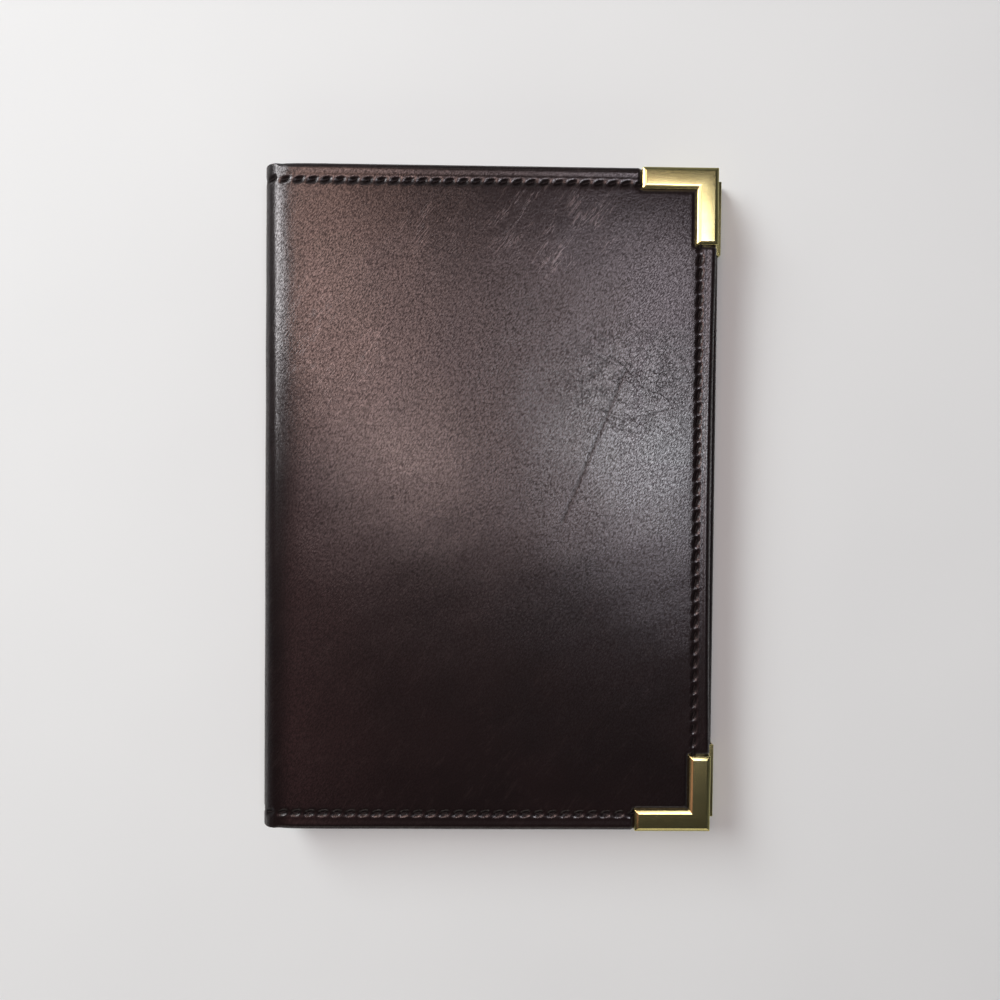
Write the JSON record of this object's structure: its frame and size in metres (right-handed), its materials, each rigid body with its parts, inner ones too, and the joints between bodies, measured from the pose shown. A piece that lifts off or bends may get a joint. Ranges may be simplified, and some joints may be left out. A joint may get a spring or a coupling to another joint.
{
  "type": "padfolio",
  "caption": "Closed leather padfolio with padded, stitched covers, a soft folded spine, brass corners, inside pockets, a pen loop and a slide-out writing pad.",
  "frame": {"origin": "centre of the closed folder's bounding box in plan, on the surface that its back cover lies on", "axes": "+X from the spine to the free edge, +Y to the top edge, +Z out of the front cover"},
  "size_m": [0.1648, 0.2354, 0.0184],
  "materials": {
    "leather": "semi-gloss grained bonded leather, dark brown",
    "lining": "matt embossed lining, near black",
    "pocket_leather": "smooth satin leather, near black",
    "thread": "waxed polyester thread, dark brown",
    "pocket_thread": "fine polyester thread, dark brown",
    "brass": "satin brass, lacquered",
    "foam": "thin closed-cell foam sheet",
    "board": "grey millboard",
    "pad_card": "brown chipboard",
    "paper": "ruled writing paper",
    "binding_tape": "cloth binding tape"
  },
  "bodies": {
    "back_cover": {"back_leather": "leather", "back_foam": "foam", "back_board": "board", "back_lining": "lining", "back_stitches": "thread", "corner_back_top": "brass", "corner_back_bottom": "brass", "pad_slip_pocket": "pocket_leather", "slip_stitches": "pocket_thread", "pen_loop": "pocket_leather"},
    "spine": {"spine_leather": "leather", "spine_lining": "lining", "spine_stitches": "thread"},
    "front_cover": {"front_leather": "leather", "front_foam": "foam", "front_board": "board", "front_lining": "lining", "front_stitches": "thread", "corner_front_top": "brass", "corner_front_bottom": "brass", "document_pocket": "pocket_leather", "card_pocket_upper": "pocket_leather", "card_pocket_lower": "pocket_leather", "pocket_stitches": "pocket_thread"},
    "pad": {"pad_card": "pad_card", "pad_sheets": "paper", "pad_tape": "binding_tape"}
  },
  "joints": [
    {"name": "spine_fold", "type": "hinge", "parent": "back_cover", "child": "spine", "pos_m": [-0.07579, 0, 0.00296], "axis": [0, -1, 0], "range_deg": [0, 69.77], "deforming": ["spine_leather", "spine_lining", "spine_stitches"]},
    {"name": "cover_fold", "type": "hinge", "parent": "spine", "child": "front_cover", "pos_m": [-0.08039, 0, 0.01544], "axis": [0, -1, 0], "range_deg": [0, 110.23]},
    {"name": "pad_slide", "type": "slide", "parent": "back_cover", "child": "pad", "axis": [0, 1, 0], "range_m": [0, 0.225]}
  ],
  "couplings": [
    {"joint": "cover_fold", "follows": "spine_fold", "ratio": 1.5798}
  ]
}
